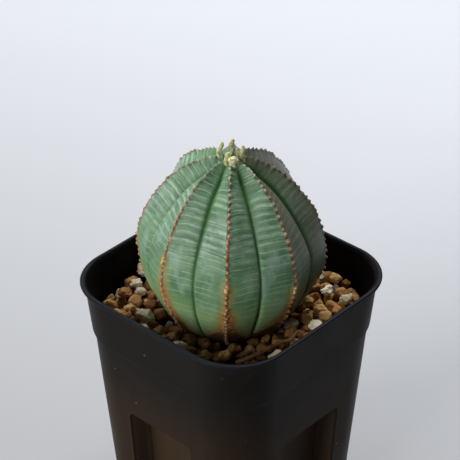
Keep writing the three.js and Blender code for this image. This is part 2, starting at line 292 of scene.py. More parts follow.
def plastic_material():
    """Black injection-moulded plastic: satin, finely pebbled, scuffed and a little dusty, with a painted brown
    reflection low down, painted light in the alcoves and on the lip, and painted shade inside.
    """
    s = Shader("black_plastic", Specular_IOR_Level=0.06)
    height = s.axis("Z")
    alcove, inside = s.read("alcove"), s.read("inside")
    streaks = s.noise(3.0, detail=4, vector=s.stretched((1, 1, 0.12)))
    blotches = s.noise(14.0)

    colour = s.mix(s.ramp(blotches, 0.3, 0.7), (0.0058, 0.0054, 0.0054), (0.0095, 0.009, 0.009))
    # Painted reflection: a brown tint, strongest low down, standing in for a brown table's light reflected in the
    # pot.
    brown = s.add(s.times(s.ramp(height, 74 * MM, 44 * MM), 0.75), 0.12)
    brown = s.times(s.ramp(streaks, 0.3, 0.7, 0.75, 1.0), brown)
    colour = s.mix(brown, colour, (0.031, 0.0174, 0.0082))
    # Painted light in the alcoves: their back and side walls are given a paler brown, lifting the shade that falls
    # in them.
    alcove_back_painted_light = s.times(alcove, s.ramp(streaks, 0.3, 0.7, 0.8, 1.0))
    colour = s.mix(alcove_back_painted_light, colour, (0.044, 0.0275, 0.0155))
    alcove_wall_painted_light = s.times(s.times(alcove, s.inverse(alcove)), 4.0)
    colour = s.mix(s.ramp(alcove_wall_painted_light, 0.0, 0.6), colour, (0.072, 0.048, 0.032))
    # Painted highlight: a thin paler bluish band round the outside of the lip.
    lip = s.times(s.ramp(height, (RIM - 1.3) * MM, (RIM - 0.6) * MM), s.inverse(inside))
    colour = s.mix(lip, colour, (0.010, 0.012, 0.0155))
    # Painted shade: the inside of the pot, from its floor over the lip's top, is made darker still.
    colour = s.mix(inside, colour, (0.0018, 0.002, 0.0026))

    scratch = s.cells(6.0, "DISTANCE_TO_EDGE", s.stretched((1, 1, 0.3), (0.5, 0.3, 0.0)))
    scratch = s.times(s.ramp(scratch, 0.0, 0.012, 1.0, 0.0), s.ramp(s.noise(5.0), 0.55, 0.7))
    colour = s.mix(s.times(scratch, 0.3), colour, (0.05, 0.05, 0.05))
    dust = s.math("LESS_THAN", s.cells(3.4), s.ramp(s.noise(9.0), 0.5, 0.75, 0.0, 0.09))
    colour = s.mix(s.times(dust, 0.7), colour, (0.30, 0.29, 0.28))

    roughness = s.add(s.ramp(blotches, 0.25, 0.75, 0.38, 0.48), s.times(streaks, 0.06))
    from_step = s.math("SUBTRACT", height, (COLLAR_FOOT + STEP_FOOT) / 2 * MM)
    on_step = s.ramp(s.math("ABSOLUTE", from_step), 0.5 * MM, 2.2 * MM, 0.12, 0.0)
    pebbles = s.bump(s.noise(0.35, detail=2), 0.02, 0.35)
    return s.finish(colour, s.add(roughness, on_step), s.bump(scratch, 0.02, 0.4, pebbles))


def soil_material():
    """Dark crumbly potting mix."""
    s = Shader("potting_mix", Specular_IOR_Level=0.2)
    crumbs = s.cells(1.8)
    colour = s.mix(s.noise(2.5), (0.022, 0.014, 0.009), (0.07, 0.045, 0.028))
    colour = s.mix(s.ramp(crumbs, 0.1, 0.6), colour, (0.035, 0.022, 0.014))
    return s.finish(colour, 0.95, s.bump(crumbs, 0.9))


def grit_material():
    """Dull porous grit. Each grain stores a tone of its own, and how pale it is."""
    s = Shader("grit", Specular_IOR_Level=0.25)
    tone, pale = s.read("tone"), s.read("pale")
    grain = s.noise(0.5, detail=5, roughness=0.65)
    patches = s.noise(1.7)
    pores = s.ramp(s.cells(0.55), 0.0, 0.32, 1.0, 0.0)
    pores = s.times(pores, s.ramp(s.noise(1.3), 0.42, 0.62))
    brown = s.mix(tone, (0.23, 0.095, 0.024), (0.46, 0.25, 0.08))
    brown = s.mix(s.ramp(tone, 0.65, 1.0), brown, (0.60, 0.39, 0.17))
    brown = s.mix(s.ramp(patches, 0.35, 0.7, 0.0, 0.7), brown, (0.30, 0.15, 0.045))
    brown = s.mix(s.ramp(grain, 0.5, 0.75, 0.0, 0.6), brown, (0.54, 0.33, 0.14))
    brown = s.mix(s.ramp(grain, 0.5, 0.3, 0.0, 0.6), brown, (0.13, 0.055, 0.016))
    light = s.mix(tone, (0.52, 0.43, 0.30), (0.80, 0.72, 0.56))
    light = s.mix(s.ramp(patches, 0.5, 0.8, 0.0, 0.7), light, (0.46, 0.35, 0.22))
    light = s.mix(s.ramp(grain, 0.48, 0.3, 0.0, 0.6), light, (0.24, 0.18, 0.12))
    colour = s.mix(pale, brown, light)
    colour = s.mix(s.times(pores, 0.75), colour, (0.05, 0.024, 0.01))
    relief = s.add(s.times(grain, 0.7), s.times(pores, -0.7))
    return s.finish(colour, 0.9, s.bump(relief, 0.4))


def band_height(s, rib, along):
    """How far down its crest the cross band at a place comes from, in mm: the bands sag and wobble."""
    wobble = s.add(s.jitter(14.0, 2.0), s.jitter(4.5, 1.1, detail=2))
    crest_dip = s.times(s.math("POWER", s.inverse(rib), 2.0), s.ramp(along, 5.0, 20.0, 0.4, 1.9))
    crest_dip = s.times(crest_dip, s.ramp(along, 26.0, 48.0, 1.0, 0.6))
    groove_dip = s.times(s.math("POWER", rib, 1.8), s.ramp(along, 24.0, 46.0, 0.9, 0.4))
    groove_dip = s.times(groove_dip, s.ramp(along, 3.0, 24.0, -0.2, 1.0))
    return s.math("SUBTRACT", s.add(along, wobble), s.add(crest_dip, groove_dip))


def cross_bands(s, height, along, shift, upper, zones):
    """How pale the cross bands make a place, and how much of it is down to the thin ones."""
    patchy = s.ramp(s.noise(3.2, detail=4), 0.36, 0.64)
    busy = s.ramp(zones, 0.36, 0.58)
    broad = s.ramp(s.lines(height, 0.40, shift), 0.02, 0.36, 1.0, 0.0)
    broad = s.times(broad, s.ramp(patchy, 0.0, 1.0, 0.4, 1.0))
    broad = s.times(broad, s.times(upper, s.ramp(busy, 0.0, 1.0, 0.25, 0.9)))
    fine = s.ramp(s.lines(height, 0.95, shift), 0.02, 0.26, 1.0, 0.0)
    fine = s.times(s.times(fine, s.ramp(patchy, 1.0, 0.0, 0.2, 0.7)), s.ramp(busy, 0.0, 1.0, 0.12, 0.75))
    fine = s.times(fine, s.ramp(along, 28.0, 46.0, 1.0, 0.4))
    thread = s.ramp(s.lines(height, 0.42, s.add(shift, 0.5)), 0.015, 0.10, 1.0, 0.0)
    thread = s.times(thread, s.ramp(s.noise(4.5), 0.38, 0.52, 0.1, 0.95))
    return s.math("MAXIMUM", s.math("MAXIMUM", broad, fine), thread), s.add(thread, fine)


def green_skin(s, rib, along, shift, upper, zones):
    """Mottled green, with a pale bloom and faint upright stripes, and painted light that makes it lighter at its
    foot.
    """
    green = s.mix(s.ramp(s.noise(9.0, detail=4), 0.38, 0.62), (0.08, 0.195, 0.078), (0.13, 0.25, 0.125))
    green = s.mix(s.times(upper, s.ramp(zones, 0.56, 0.40, 0.1, 0.5)), green, (0.18, 0.285, 0.20))
    green = s.mix(s.ramp(s.noise(6.0, detail=4), 0.46, 0.62, 0.0, 0.7), green, (0.057, 0.138, 0.066))
    green = s.mix(s.ramp(s.noise(1.6), 0.50, 0.70, 0.0, 0.5), green, (0.07, 0.18, 0.065))
    bloom = s.ramp(s.noise(5.0, detail=4, vector=s.stretched((1, 1, 0.4))), 0.5, 0.68)
    green = s.mix(s.times(bloom, s.ramp(along, 18.0, 30.0, 0.1, 0.5)), green, (0.27, 0.38, 0.33))
    stripes = s.ramp(s.lines(rib, 9.0, shift), 0.0, 0.2, 1.0, 0.0)
    stripes = s.times(stripes, s.ramp(s.noise(3.0), 0.48, 0.62))
    green = s.mix(s.times(stripes, 0.3), green, (0.06, 0.14, 0.06))
    # Painted light: paler green towards the foot, standing in for light thrown up from the grit.
    return s.mix(s.ramp(along, 44.0, 60.0, 0.0, 0.75), green, (0.26, 0.40, 0.18))


def tanned_and_shaded_skin(s, skin, along, sun, bands):
    """The flanks on the side away from the window light, darkened: partly the plant's own suntan and partly
    painted shade, brown in front and grey-purple behind.
    """
    # Partly a suntan and partly painted shade: the flanks away from the window light are darkened, and their bands
    # greyed.
    tan = s.mix(s.ramp(along, 20.0, 36.0), (0.080, 0.074, 0.042), (0.050, 0.042, 0.021))
    tan = s.mix(s.ramp(s.read("behind"), 0.0, 1.0), tan, (0.115, 0.108, 0.112))
    skin = s.mix(s.times(sun, 0.85), skin, tan)
    return s.mix(s.times(s.times(sun, bands), 0.3), skin, (0.20, 0.21, 0.16))


def corky_skin(s, skin, along, ragged):
    """Brown bark inside the ragged edge of the cork, with a yellowed margin outside it, and painted shade
    darkening the bark at the grit.
    """
    skin = s.mix(s.ramp(ragged, -3.0, -0.2, 0.0, 0.8), skin, (0.25, 0.23, 0.062))
    skin = s.mix(s.ramp(ragged, -0.9, 0.5), skin, (0.29, 0.15, 0.04))
    bark = s.mix(s.ramp(s.noise(0.9, detail=5), 0.35, 0.65), (0.19, 0.075, 0.022), (0.47, 0.25, 0.10))
    # Painted shade: the bark turns almost black where the stem meets the grit.
    bark = s.mix(s.ramp(along, 60.0, 66.0, 0.0, 0.85), bark, (0.045, 0.022, 0.009))
    return s.mix(s.ramp(ragged, 0.0, 1.0), skin, bark)


def scarred_skin(s, skin, along, sun):
    """Callus down each crest: grey high up and brown low down, pale on its bumps, dark between them, and darker
    with painted shade on the side away from the window light.
    """
    scar = s.read("scar")
    low_down = s.ramp(along, 12.0, 34.0)
    # Painted shade: the callus and its pale bumps are darker on the side away from the window light.
    shaded = s.times(sun, 0.75)
    callus = s.mix(low_down, (0.105, 0.085, 0.048), (0.25, 0.112, 0.044))
    callus = s.mix(shaded, callus, (0.07, 0.045, 0.028))
    pale = s.mix(low_down, (0.50, 0.47, 0.35), (0.62, 0.39, 0.20))
    pale = s.mix(shaded, pale, (0.20, 0.15, 0.11))
    dark = s.mix(low_down, (0.035, 0.025, 0.015), (0.07, 0.03, 0.013))
    fleck = s.noise(0.75, detail=4)
    callus = s.mix(s.ramp(fleck, 0.54, 0.68), callus, pale)
    gaps = s.ramp(scar, 0.35, 0.05, 0.0, 0.7)
    callus = s.mix(s.math("MAXIMUM", s.ramp(fleck, 0.46, 0.34), gaps), callus, dark)
    edge = s.add(s.add(s.read("crest"), s.times(scar, 0.5)), s.jitter(1.0, 1.1, detail=4))
    cover = s.times(s.ramp(edge, 0.5, 0.8), s.ramp(along, 5.0, 22.0, 0.35, 0.95))
    skin = s.mix(cover, skin, callus)
    skin = s.mix(s.times(s.ramp(scar, 0.5, 0.9), s.ramp(fleck, 0.64, 0.42, 0.2, 0.85)), skin, pale)
    knob = s.add(s.read("knob"), s.jitter(0.9, 1.5, detail=4))
    knob_bark = s.mix(s.ramp(fleck, 0.40, 0.56), (0.34, 0.15, 0.05), (0.78, 0.48, 0.22))
    return s.mix(s.ramp(knob, 0.35, 0.65, 0.0, 0.9), skin, knob_bark)


def stem_material():
    """Waxy green skin with pale cross bands, dark grooves of painted shade, brown scars and corky rib feet. The
    side away from the window light carries painted shade, and the foot painted light.
    """
    s = Shader("stem_skin", Specular_IOR_Level=0.4)
    rib, along, sun = s.read("rib"), s.read("along"), s.read("sun")
    shift = s.times(s.read("flank"), 7.31)  # so that no two flanks have the same bands
    upper = s.times(s.ramp(along, 44.0, 28.0), s.ramp(along, 8.0, 22.0, 0.35, 1.0))
    height = band_height(s, rib, along)
    zone_values = {"W": s.add(s.times(height, 0.22), shift), "Scale": 1.0, "Detail": 3.0}
    zones = s.node("ShaderNodeTexNoise", zone_values, noise_dimensions="1D").outputs["Fac"]
    bands, thin_bands = cross_bands(s, height, along, shift, upper, zones)

    skin = green_skin(s, rib, along, shift, upper, zones)
    skin = s.mix(s.times(bands, 0.74), skin, s.mix(upper, (0.32, 0.46, 0.30), (0.43, 0.55, 0.46)))
    skin = tanned_and_shaded_skin(s, skin, along, sun, bands)
    # Painted shade: the grooves are darkened to dark green where shade falls in them.
    skin = s.mix(s.ramp(s.read("groove"), 0.1, 0.9, 0.0, 0.8), skin, (0.05, 0.145, 0.035))

    ragged = s.add(s.read("cork"), s.jitter(1.6, 1.9, detail=5))
    ragged = s.add(ragged, s.times(thin_bands, -0.5))
    ragged = s.add(ragged, s.jitter(5.0, s.ramp(along, 40.0, 56.0, 0.8, 4.0), detail=2))
    skin = corky_skin(s, skin, along, ragged)
    skin = scarred_skin(s, skin, along, sun)
    freckle = s.math("LESS_THAN", s.cells(3.1), s.ramp(s.noise(7.0), 0.56, 0.7, 0.0, 0.11))
    skin = s.mix(s.times(freckle, 0.6), skin, (0.09, 0.055, 0.02))

    roughness = s.ramp(ragged, -0.3, 0.5, 0.50, 0.85)
    relief = s.add(s.times(bands, 0.35), s.times(s.noise(0.22, detail=2), 0.35))
    relief = s.add(relief, s.times(s.ramp(ragged, -0.2, 0.8), s.noise(0.5, detail=4)))
    return s.finish(skin, roughness, s.bump(relief, 0.14, 0.9))


def stalk_material():
    """Matt yellow-green flower stalks, browner between the joints."""
    s = Shader("flower_stalk", Specular_IOR_Level=0.35)
    tip, knuckle = s.read("tip"), s.read("knuckle")
    colour = s.mix(tip, (0.50, 0.47, 0.19), (0.55, 0.57, 0.30))
    colour = s.mix(s.ramp(s.noise(0.9), 0.42, 0.64, 0.0, 0.8), colour, (0.76, 0.71, 0.47))
    colour = s.mix(s.ramp(s.noise(0.6, detail=4), 0.54, 0.68, 0.0, 0.7), colour, (0.20, 0.15, 0.04))
    colour = s.mix(s.times(s.ramp(knuckle, 0.4, 0.95), 0.65), colour, (0.16, 0.12, 0.03))
    return s.finish(colour, 0.6, s.bump(s.noise(0.3), 0.14))


def dry_material():
    """A withered, fibrous brown stalk."""
    s = Shader("dry_stalk", Specular_IOR_Level=0.25)
    fibres = s.noise(0.35, detail=4, vector=s.stretched((1, 0.2, 1)))
    colour = s.mix(fibres, (0.09, 0.045, 0.02), (0.33, 0.20, 0.11))
    return s.finish(colour, 0.8, s.bump(fibres, 0.12))


# ---- Mesh helpers ----


def smooth_line(points, count):
    """Points evenly spaced along a smooth curve through some points, and how far along each is."""
    p = np.array(points, float)
    p = np.vstack([2 * p[0] - p[1], p, 2 * p[-1] - p[-2]])
    t = np.linspace(0, 1, 40, endpoint=False)[:, None]
    spans = [
        0.5 * (2 * b + (c - a) * t + (2 * a - 5 * b + 4 * c - d) * t**2 + (3 * b - a - 3 * c + d) * t**3)
        for a, b, c, d in zip(p, p[1:], p[2:], p[3:])
    ]
    dense = np.vstack(spans + [p[-2:-1]])
    run = np.concatenate([[0], np.cumsum(np.linalg.norm(np.diff(dense, axis=0), axis=1))])
    even = np.linspace(0, run[-1], count)
    return np.stack([np.interp(even, run, dense[:, k]) for k in range(p.shape[1])], 1), even


def ease(value, low, high):
    """0 below low, 1 above high and a smooth step between."""
    t = np.clip((value - low) / (high - low), 0, 1)
    return t * t * (3 - 2 * t)


def bell(value, width):
    """1 where value is 0, falling away to nothing at about twice width."""
    return np.exp(-((value / width) ** 2))


def quarter_turns(first=0.0):
    """Four turns in the plane, a quarter apart."""
    angles = first + np.arange(4) * math.pi / 2
    return [np.array([[math.cos(t), -math.sin(t)], [math.sin(t), math.cos(t)]]) for t in angles]


def add_piece(name, points, faces, material, node_names, numbers=None):
    """A mesh object from points in mm, riding on the one body and standing for CAD nodes."""
    piece = put_mesh(name, points, faces)
    for key, values in (numbers or {}).items():
        attribute = piece.data.attributes.new(key, "FLOAT", "POINT")
        attribute.data.foreach_set("value", np.asarray(values, np.float32))
    piece.data.materials.append(material)
    piece.data.update()
    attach(piece, ROOT)
    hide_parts(*node_names)
    return piece


def grid_faces(rows, columns, start=0):
    """Quads over rows of points that close on themselves, counter-clockwise from outside downwards."""
    r, c = np.meshgrid(np.arange(rows - 1), np.arange(columns), indexing="ij")
    a, b = start + r * columns + c, start + r * columns + (c + 1) % columns
    return np.stack([a, a + columns, b + columns, b], -1).reshape(-1, 4).tolist()


def closed_rings(rings, first, last):
    """Points and faces of a body through rings, shut by a point at each end."""
    count = rings.shape[1]
    points = np.vstack([[first], rings.reshape(-1, 3), [last]])
    faces = grid_faces(len(rings), count, 1)
    foot = 1 + (len(rings) - 1) * count
    end = len(points) - 1
    for k in range(count):
        after = (k + 1) % count
        faces.append([0, 1 + k, 1 + after])
        faces.append([end, foot + after, foot + k])
    return points, faces


def tube_rings(line, side, up, radii, angles):
    """Rings round a line, from their radius at each angle and the two ways across the line."""
    across = np.cos(angles)[:, None] * side[:, None] + np.sin(angles)[:, None] * up[:, None]
    return line[:, None] + radii[..., None] * across


# ---- Pot ----

CORNER_RATIO = 0.466  # of a corner's radius to the half width
CORNER_COLUMNS = 18
WALL, FLOOR = 1.0, 1.6
COLLAR_TOP, COLLAR_BASE, BODY_TOP = POT_HALF - 1.2, POT_HALF - 2.5, POT_HALF - 3.35  # half widths
LIP, COLLAR_FOOT, STEP_FOOT = RIM - 1.1, RIM - 17, RIM - 19.5  # heights
LIP_ROUND, STEP_ROUND = 0.55, 0.6
TAPER = 0.0715
ALCOVE_HALF, ALCOVE_TOP, ALCOVE_DEPTH, ALCOVE_ROUND = 12.4, 49.0, 7.3, 1.6
# Where points stand close together, from an alcove's side edges and from its top edge.
SIDE_PLACES = np.array([-2.4, -1.6, -1.1, -0.7, -0.4, -0.2, 0.0, 0.2, 0.4, 0.7, 1.1, 1.6])
TOP_PLACES = np.array([-2.6, -1.9, -1.3, -0.9, -0.5, -0.2, 0.1, 0.4, 0.8, 1.4])


def body_half(z):
    """The body's half width at a height."""
    return BODY_TOP - TAPER * (STEP_FOOT - z)


def pot_outside():
    """Half width against height down the outside, from the lip to the underside."""
    lip_half, lip_height = POT_HALF - LIP_ROUND, RIM - LIP_ROUND
    lip = [
        (lip_half + LIP_ROUND * math.sin(t), lip_height + LIP_ROUND * math.cos(t))
        for t in np.linspace(0.1, 2.4, 7)
    ]
    shares = np.linspace(0, 1, 9)
    step_half = COLLAR_BASE + (BODY_TOP - COLLAR_BASE) * ease(shares, 0, 1)
    step_drop = (STEP_FOOT - COLLAR_FOOT - 2 * STEP_ROUND) * shares
    step = list(zip(step_half, COLLAR_FOOT + STEP_ROUND + step_drop))
    return lip + [
        (COLLAR_TOP + 0.12, LIP - 0.05),
        (COLLAR_TOP, LIP - 0.4),
        *step,
        (body_half(1.2), 1.2),
        (body_half(0) - 0.2, 0.35),
        (body_half(0) - 0.8, 0.0),
    ]


def pot_inside():
    """Half width against height up the inside, from the floor to the lip."""
    return [
        (body_half(FLOOR) - WALL - 1.2, FLOOR),
        (body_half(FLOOR) - WALL - 0.3, FLOOR + 0.4),
        (body_half(FLOOR) - WALL, FLOOR + 1.4),
        (BODY_TOP - WALL, STEP_FOOT),
        (COLLAR_BASE - WALL, COLLAR_FOOT),
        (COLLAR_TOP - WALL + 0.05, LIP - 0.5),
        (COLLAR_TOP - WALL + 0.25, RIM - 0.9),
        (COLLAR_TOP - WALL + 0.7, RIM - 0.35),
        (POT_HALF - 1.2, RIM - 0.05),
    ]


def wall_ring(half, z, alcove_grow):
    """One closed ring of the wall at height z, with the alcoves pressed in.

    Each row is a point and how far it is into an alcove, from 0 to 1.
    """
    radius = half * CORNER_RATIO
    straight = half - radius
    edge = ALCOVE_HALF + SIDE_PLACES
    to_corner = np.linspace(edge[-1], straight, 4)[1:-1]
    places = np.concatenate([np.linspace(0, ALCOVE_HALF - 3.4, 7), edge, to_corner])
    places = np.concatenate([-places[:0:-1], places])
    q_side = np.abs(places) - (ALCOVE_HALF + alcove_grow - ALCOVE_ROUND)
    q_top = z - (ALCOVE_TOP + alcove_grow - ALCOVE_ROUND)
    outside = np.hypot(np.maximum(q_side, 0), max(q_top, 0))
    edge = outside + np.minimum(np.maximum(q_side, q_top), 0) - ALCOVE_ROUND
    inset = ALCOVE_DEPTH * ease(-edge, -0.35, 0.55)
    side = np.stack([half - inset, places], 1)
    pressed_in = np.concatenate([inset / ALCOVE_DEPTH, np.zeros(CORNER_COLUMNS)])
    arc = np.linspace(0, math.pi / 2, CORNER_COLUMNS)
    corner = np.stack([straight + radius * np.cos(arc), straight + radius * np.sin(arc)], 1)
    quarter = np.vstack([side, corner])
    flat = np.vstack([quarter @ turn.T for turn in quarter_turns()])
    return np.column_stack([flat, np.full(len(flat), z), np.tile(pressed_in, 4)])


def wall_rings(profile, alcove_grow):
    """Rings down or up a profile, close together where the alcove's top edge needs them."""
    halves, heights = np.array(profile).T
    evenly = np.arange(4, RIM, 6.0)
    every = np.concatenate([heights, ALCOVE_TOP + alcove_grow + TOP_PLACES, evenly])
    every = np.unique(every.round(3))
    every = every[(every >= heights.min()) & (every <= heights.max())]
    order = np.argsort(heights)
    every_half = np.interp(every, heights[order], halves[order])
    rings = [wall_ring(h, z, alcove_grow) for h, z in zip(every_half, every)]
    return rings if heights[0] < heights[-1] else rings[::-1]


def add_pot():
    """One moulded shell: down the outside, under, up the inside and over the lip."""
    outside = wall_rings(pot_outside(), 0.0)
    outer = len(outside)
    rings = np.array(outside + wall_rings(pot_inside(), WALL))
    count = rings.shape[1]
    points = rings[..., :3].reshape(-1, 3)
    faces = grid_faces(outer, count)
    faces += grid_faces(len(rings) - outer, count, outer * count)
    last = (len(rings) - 1) * count
    for k in range(count):
        after = (k + 1) % count
        faces.append([last + k, k, after, last + after])
    faces.append([(outer - 1) * count + k for k in range(count)][::-1])
    faces.append([outer * count + k for k in range(count)])
    # The alcove number carries the painted light in the alcoves, and the inside number the painted shade within
    # the pot.
    inside = np.repeat(np.arange(len(rings)) >= outer, count)
    numbers = {"alcove": rings[..., 3].ravel(), "inside": inside.astype(float)}
    pot = add_piece("moulded_pot", points, faces, plastic_material(), ["pot"], numbers)
    cut_drain_slots(pot)
    pot.data.set_sharp_from_angle(angle=math.radians(38))


def cut_drain_slots(pot):
    """Four slots through the floor, on the diagonals."""
    length, width, from_centre = 9.0, 3.4, 22.0
    straight = (length - width) / 2
    arc = np.linspace(0, math.pi, 9)
    top = np.stack([width / 2 * np.cos(arc), straight + width / 2 * np.sin(arc)], 1)
    outline = np.vstack([top, -top]) + [from_centre, 0]
    for turn in quarter_turns(math.pi / 4):
        flat = outline @ turn.T
        points = np.vstack([np.column_stack([flat, np.full(len(flat), z)]) for z in (-2.0, FLOOR + 2)])
        n = len(flat)
        faces = [[i, (i + 1) % n, n + (i + 1) % n, n + i] for i in range(n)]
        faces += [list(range(n))[::-1], list(range(n, 2 * n))]
        cutter = put_mesh("slot_cutter", points, faces, smooth=False)
        cut = pot.modifiers.new("slot", "BOOLEAN")
        cut.operation, cut.object, cut.solver = "DIFFERENCE", cutter, "EXACT"
        apply_modifiers(pot)
        bpy.data.meshes.remove(cutter.data)  # the cutter goes with it


def apply_modifiers(piece):
    """Makes a piece's modifiers part of its mesh."""
    graph = bpy.context.evaluated_depsgraph_get()
    graph.update()
    made = bpy.data.meshes.new_from_object(piece.evaluated_get(graph))
    old = piece.data
    piece.modifiers.clear()
    piece.data = made
    bpy.data.meshes.remove(old)


# ---- Stem ----

RIBS = 8
RIB_TURN = -4.6
# For each rib: how far it is off its even place, in degrees, how much it stands out and how much fuller
# it is low down, how far down its crest the cork starts, and half the cork's width at the grit.
RIB_DRIFT = np.array([-0.5, -0.6, 1.1, 0.0, 0.8, -1.0, 0.7, -0.1])
RIB_PROUD = np.array([-0.1, 0.1, 0.0, 0.0, 0.4, -0.1, -0.4, 0.0])
RIB_SWELL = np.array([0.3, 1.5, 0.3, 0.0, 0.4, 0.3, 0.0, 0.0])
CORK_START = np.array([47, 52, 46, 40, 44, 43, 39, 42])
CORK_SPREAD = np.array([5.2, 3.4, 4.0, 3.5, 4.0, 3.6, 3.0, 3.5])
GRIT_LINE = 63  # how far down a crest the grit is, in mm
STEM_LEAN, LEAN_ANGLE = 1.8, -17.6  # how far it leans, and which way
STEM_FOOT = np.array([-0.9, -0.2, RIM - 15])
GROOVE_DEPTH = 3.1
CREASE_DEPTH = 0.55
WAVE_DEPTH = 0.09  # of the skin's slow unevenness
KNOB_HEIGHT = 0.45  # of the swelling at the head of each cork line
ROW_STEP = 0.27  # down the stem, as far as it shows

# The crest of a rib from the sunken apex down to the tip of the tap root: radius, and height above
# the rim.
CREST = [
    (0, 40.8), (4, 42.1), (8.5, 41.2), (15.5, 37.0), (21, 31.0), (24.9, 24.3), (27.2, 17.3), (27.7, 10.5),
    (26.3, 3.0), (23.5, -3.6), (19.8, -9.6), (14.5, -15.2), (8, -21), (4, -28), (1.8, -36), (0.4, -38),
]


def lean(points):
    """Points about the stem's own upright axis, heights above the rim, leaned into the pot."""
    t, a = math.radians(STEM_LEAN), math.radians(LEAN_ANGLE)
    axis = Vector((-math.sin(a), math.cos(a), 0))
    turn = np.array(Matrix.Rotation(t, 3, axis))
    lifted = np.asarray(points, float) + [0, 0, RIM - STEM_FOOT[2]]
    return lifted @ turn.T + STEM_FOOT


def stem_columns():
    """Each column's angle, its share of the way from crest to groove, its rib and its flank."""
    near_crest = [0, 0.012, 0.025, 0.04, 0.06, 0.09, 0.14, 0.21, 0.31]
    shares = near_crest + [0.43, 0.56, 0.68, 0.79, 0.87, 0.925, 0.96, 0.985]
    crests = np.radians(RIB_TURN + np.arange(RIBS) * 360 / RIBS + RIB_DRIFT)
    columns = []
    for k in range(RIBS):
        after = (k + 1) % RIBS
        step = (crests[after] - crests[k]) % (2 * math.pi)
        half = step / 2
        columns += [(crests[k] + share * half, share, k, 2 * k) for share in shares]
        columns.append((crests[k] + half, 1.0, k, 2 * k + 1))
        columns += [(crests[k] + step - share * half, share, after, 2 * k + 1) for share in shares[:0:-1]]
    angle, share, rib, flank = np.array(columns).T
    return angle, share, rib.astype(int), flank.astype(int)


def bump_row(rng, length):
    """The bumps down one rib: how far along each is, how high and how wide."""
    places, at = [], 3.0
    while at < length:
        places.append(at)
        at += (1.6 + 0.4 * ease(at, 4, 16)) * rng.uniform(0.75, 1.25)
    places = np.array(places)
    return places, rng.uniform(0.5, 1.0, len(places)), rng.uniform(0.5, 0.78, len(places))


def stem_rows():
    """Each row's place down the crest, its radius and height, the way out, and where soil begins."""
    dense, run = smooth_line(CREST, 1400)
    buried = run[np.argmax((dense[:, 1] < -15) & (run > 40))]
    rows = np.concatenate([np.arange(0.3, buried, ROW_STEP), np.linspace(buried, run[-1], 16)[:-1]])
    crest = np.stack([np.interp(rows, run, dense[:, k]) for k in (0, 1)], 1)
    along = np.gradient(crest, rows, axis=0)
    out = np.stack([-along[:, 1], along[:, 0]], 1)
    return rows[:, None], crest, out / np.linalg.norm(out, axis=1)[:, None], buried


def flank_inset(rows, share, rib, half_width):
    """How far the flanks, grooves and creases lie in from the crest line, in mm."""
    depth = GROOVE_DEPTH * ease(rows, 0, 11) * (1 - 0.5 * ease(rows, 22, 46)) * (1 - 0.6 * ease(rows, 52, 74))
    crease = CREASE_DEPTH * np.minimum(half_width / 4, 1) * bell((1 - share) * half_width, 0.5)
    rounding = 0.10 * bell(share * half_width, 0.7)
    inset = depth * share + crease * (1 - 0.5 * ease(rows, 60, 74)) + rounding
    swell = RIB_SWELL[rib] * bell(rows - 58, 13)
    proud = RIB_PROUD[rib] * (ease(rows, 12, 30) * (1 - ease(rows, 60, 72)))
    return inset - swell * (1 - 0.5 * share) - proud * (1 - share)


def raise_bumps(rng, inset, rows, buried, rib, hand, from_crest):
    """Raises each rib's row of bumps, and returns how much of a bump each point is, from 0 to 1."""
    scar = np.zeros(inset.shape)
    for k in range(RIBS):
        places, heights, widths = bump_row(rng, buried)
        mine = rib == k
        fade = 1.15 - 0.25 * ease(places, 8, 26)
        off = rng.normal(0, 0.17, len(places))
        across = from_crest[:, mine] * hand[mine]
        for place, height, wide, aside in zip(places, heights * fade, widths, off):
            near = bell(rows - place, wide) * bell(across - aside, wide + 0.06)
            inset[:, mine] -= height * near
            scar[:, mine] = np.maximum(scar[:, mine], near)
    return scar


def slow_waves(rng, rows, angle):
    """A slow unevenness over the whole skin, in mm."""
    total = 0
    for k, (p, q, r) in enumerate(rng.uniform(0, 2 * math.pi, (6, 3))):
        down = np.sin(rows * (0.12 + 0.05 * k) + q + 0.3 * r)
        total = total + np.sin((k + 2) * angle + p) * down
    return WAVE_DEPTH * total * ease(rows, 6, 20)


def cork_cover(rows, rib, from_crest):
    """How far inside the cork a place is, in mm: a line down each crest that spreads at its foot."""
    start, spread = CORK_START[rib], CORK_SPREAD[rib]
    t = (rows - start) / (GRIT_LINE - start)
    width = 0.45 + 0.35 * ease(t, 0.1, 0.5) + (spread - 0.8) * np.clip(t, 0, 1.3) ** 2.4
    above = np.minimum(rows - start, 0) * 0.8
    return np.maximum(width - from_crest + above, -5)


def groove_shade(rows, angle, from_groove):
    """Painted shade in the grooves: dark green, broadest high up and strongest towards +X, faint on the side the
    window light reaches.
    """
    width = 0.40 + bell(rows - 20, 13)
    lee = 0.35 + 0.65 * ease(np.cos(angle + math.radians(20)), 0.0, 0.6)
    return bell(from_groove, width) * ease(rows, 2, 8) * lee


def tan_and_shade_side(rows, angle, hand):
    """The flanks that face away from the window light, tinged grey-purple: partly the plant's suntan and partly
    painted shade, mostly near the top.
    """
    turned_by = math.radians(24) * hand * (1 - 0.8 * ease(rows, 20, 44))
    facing = np.cos(angle + turned_by - math.radians(62))
    return ease(facing, 0.14, 0.78) * (1 - 0.25 * ease(rows, 25, 60))


